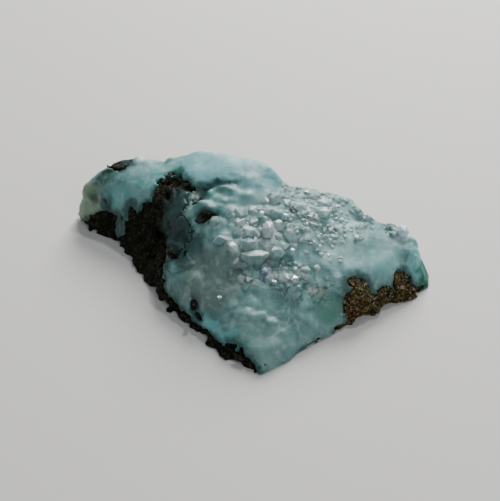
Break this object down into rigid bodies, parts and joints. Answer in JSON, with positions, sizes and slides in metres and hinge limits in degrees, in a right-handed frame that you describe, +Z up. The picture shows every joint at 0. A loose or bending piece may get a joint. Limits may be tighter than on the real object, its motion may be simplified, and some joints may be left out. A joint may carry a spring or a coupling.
{
  "type": "rough gem silica",
  "caption": "Wedge-shaped rough of translucent blue-green gem silica with a druse of small quartz crystals on top, grown on brown host rock, resting on a flat base.",
  "frame": {"origin": "middle of the bounding box, on the surface that the stone rests on", "axes": "+Z up out of the resting face, +X along the long side towards the thin end, -Y towards the front tip"},
  "size_m": [0.0436, 0.031, 0.0109],
  "materials": {
    "gem_silica": "gloss",
    "host_rock": "matte"
  },
  "bodies": {
    "root": {"gem_silica": "gem_silica", "host_rock": "host_rock"}
  },
  "joints": []
}
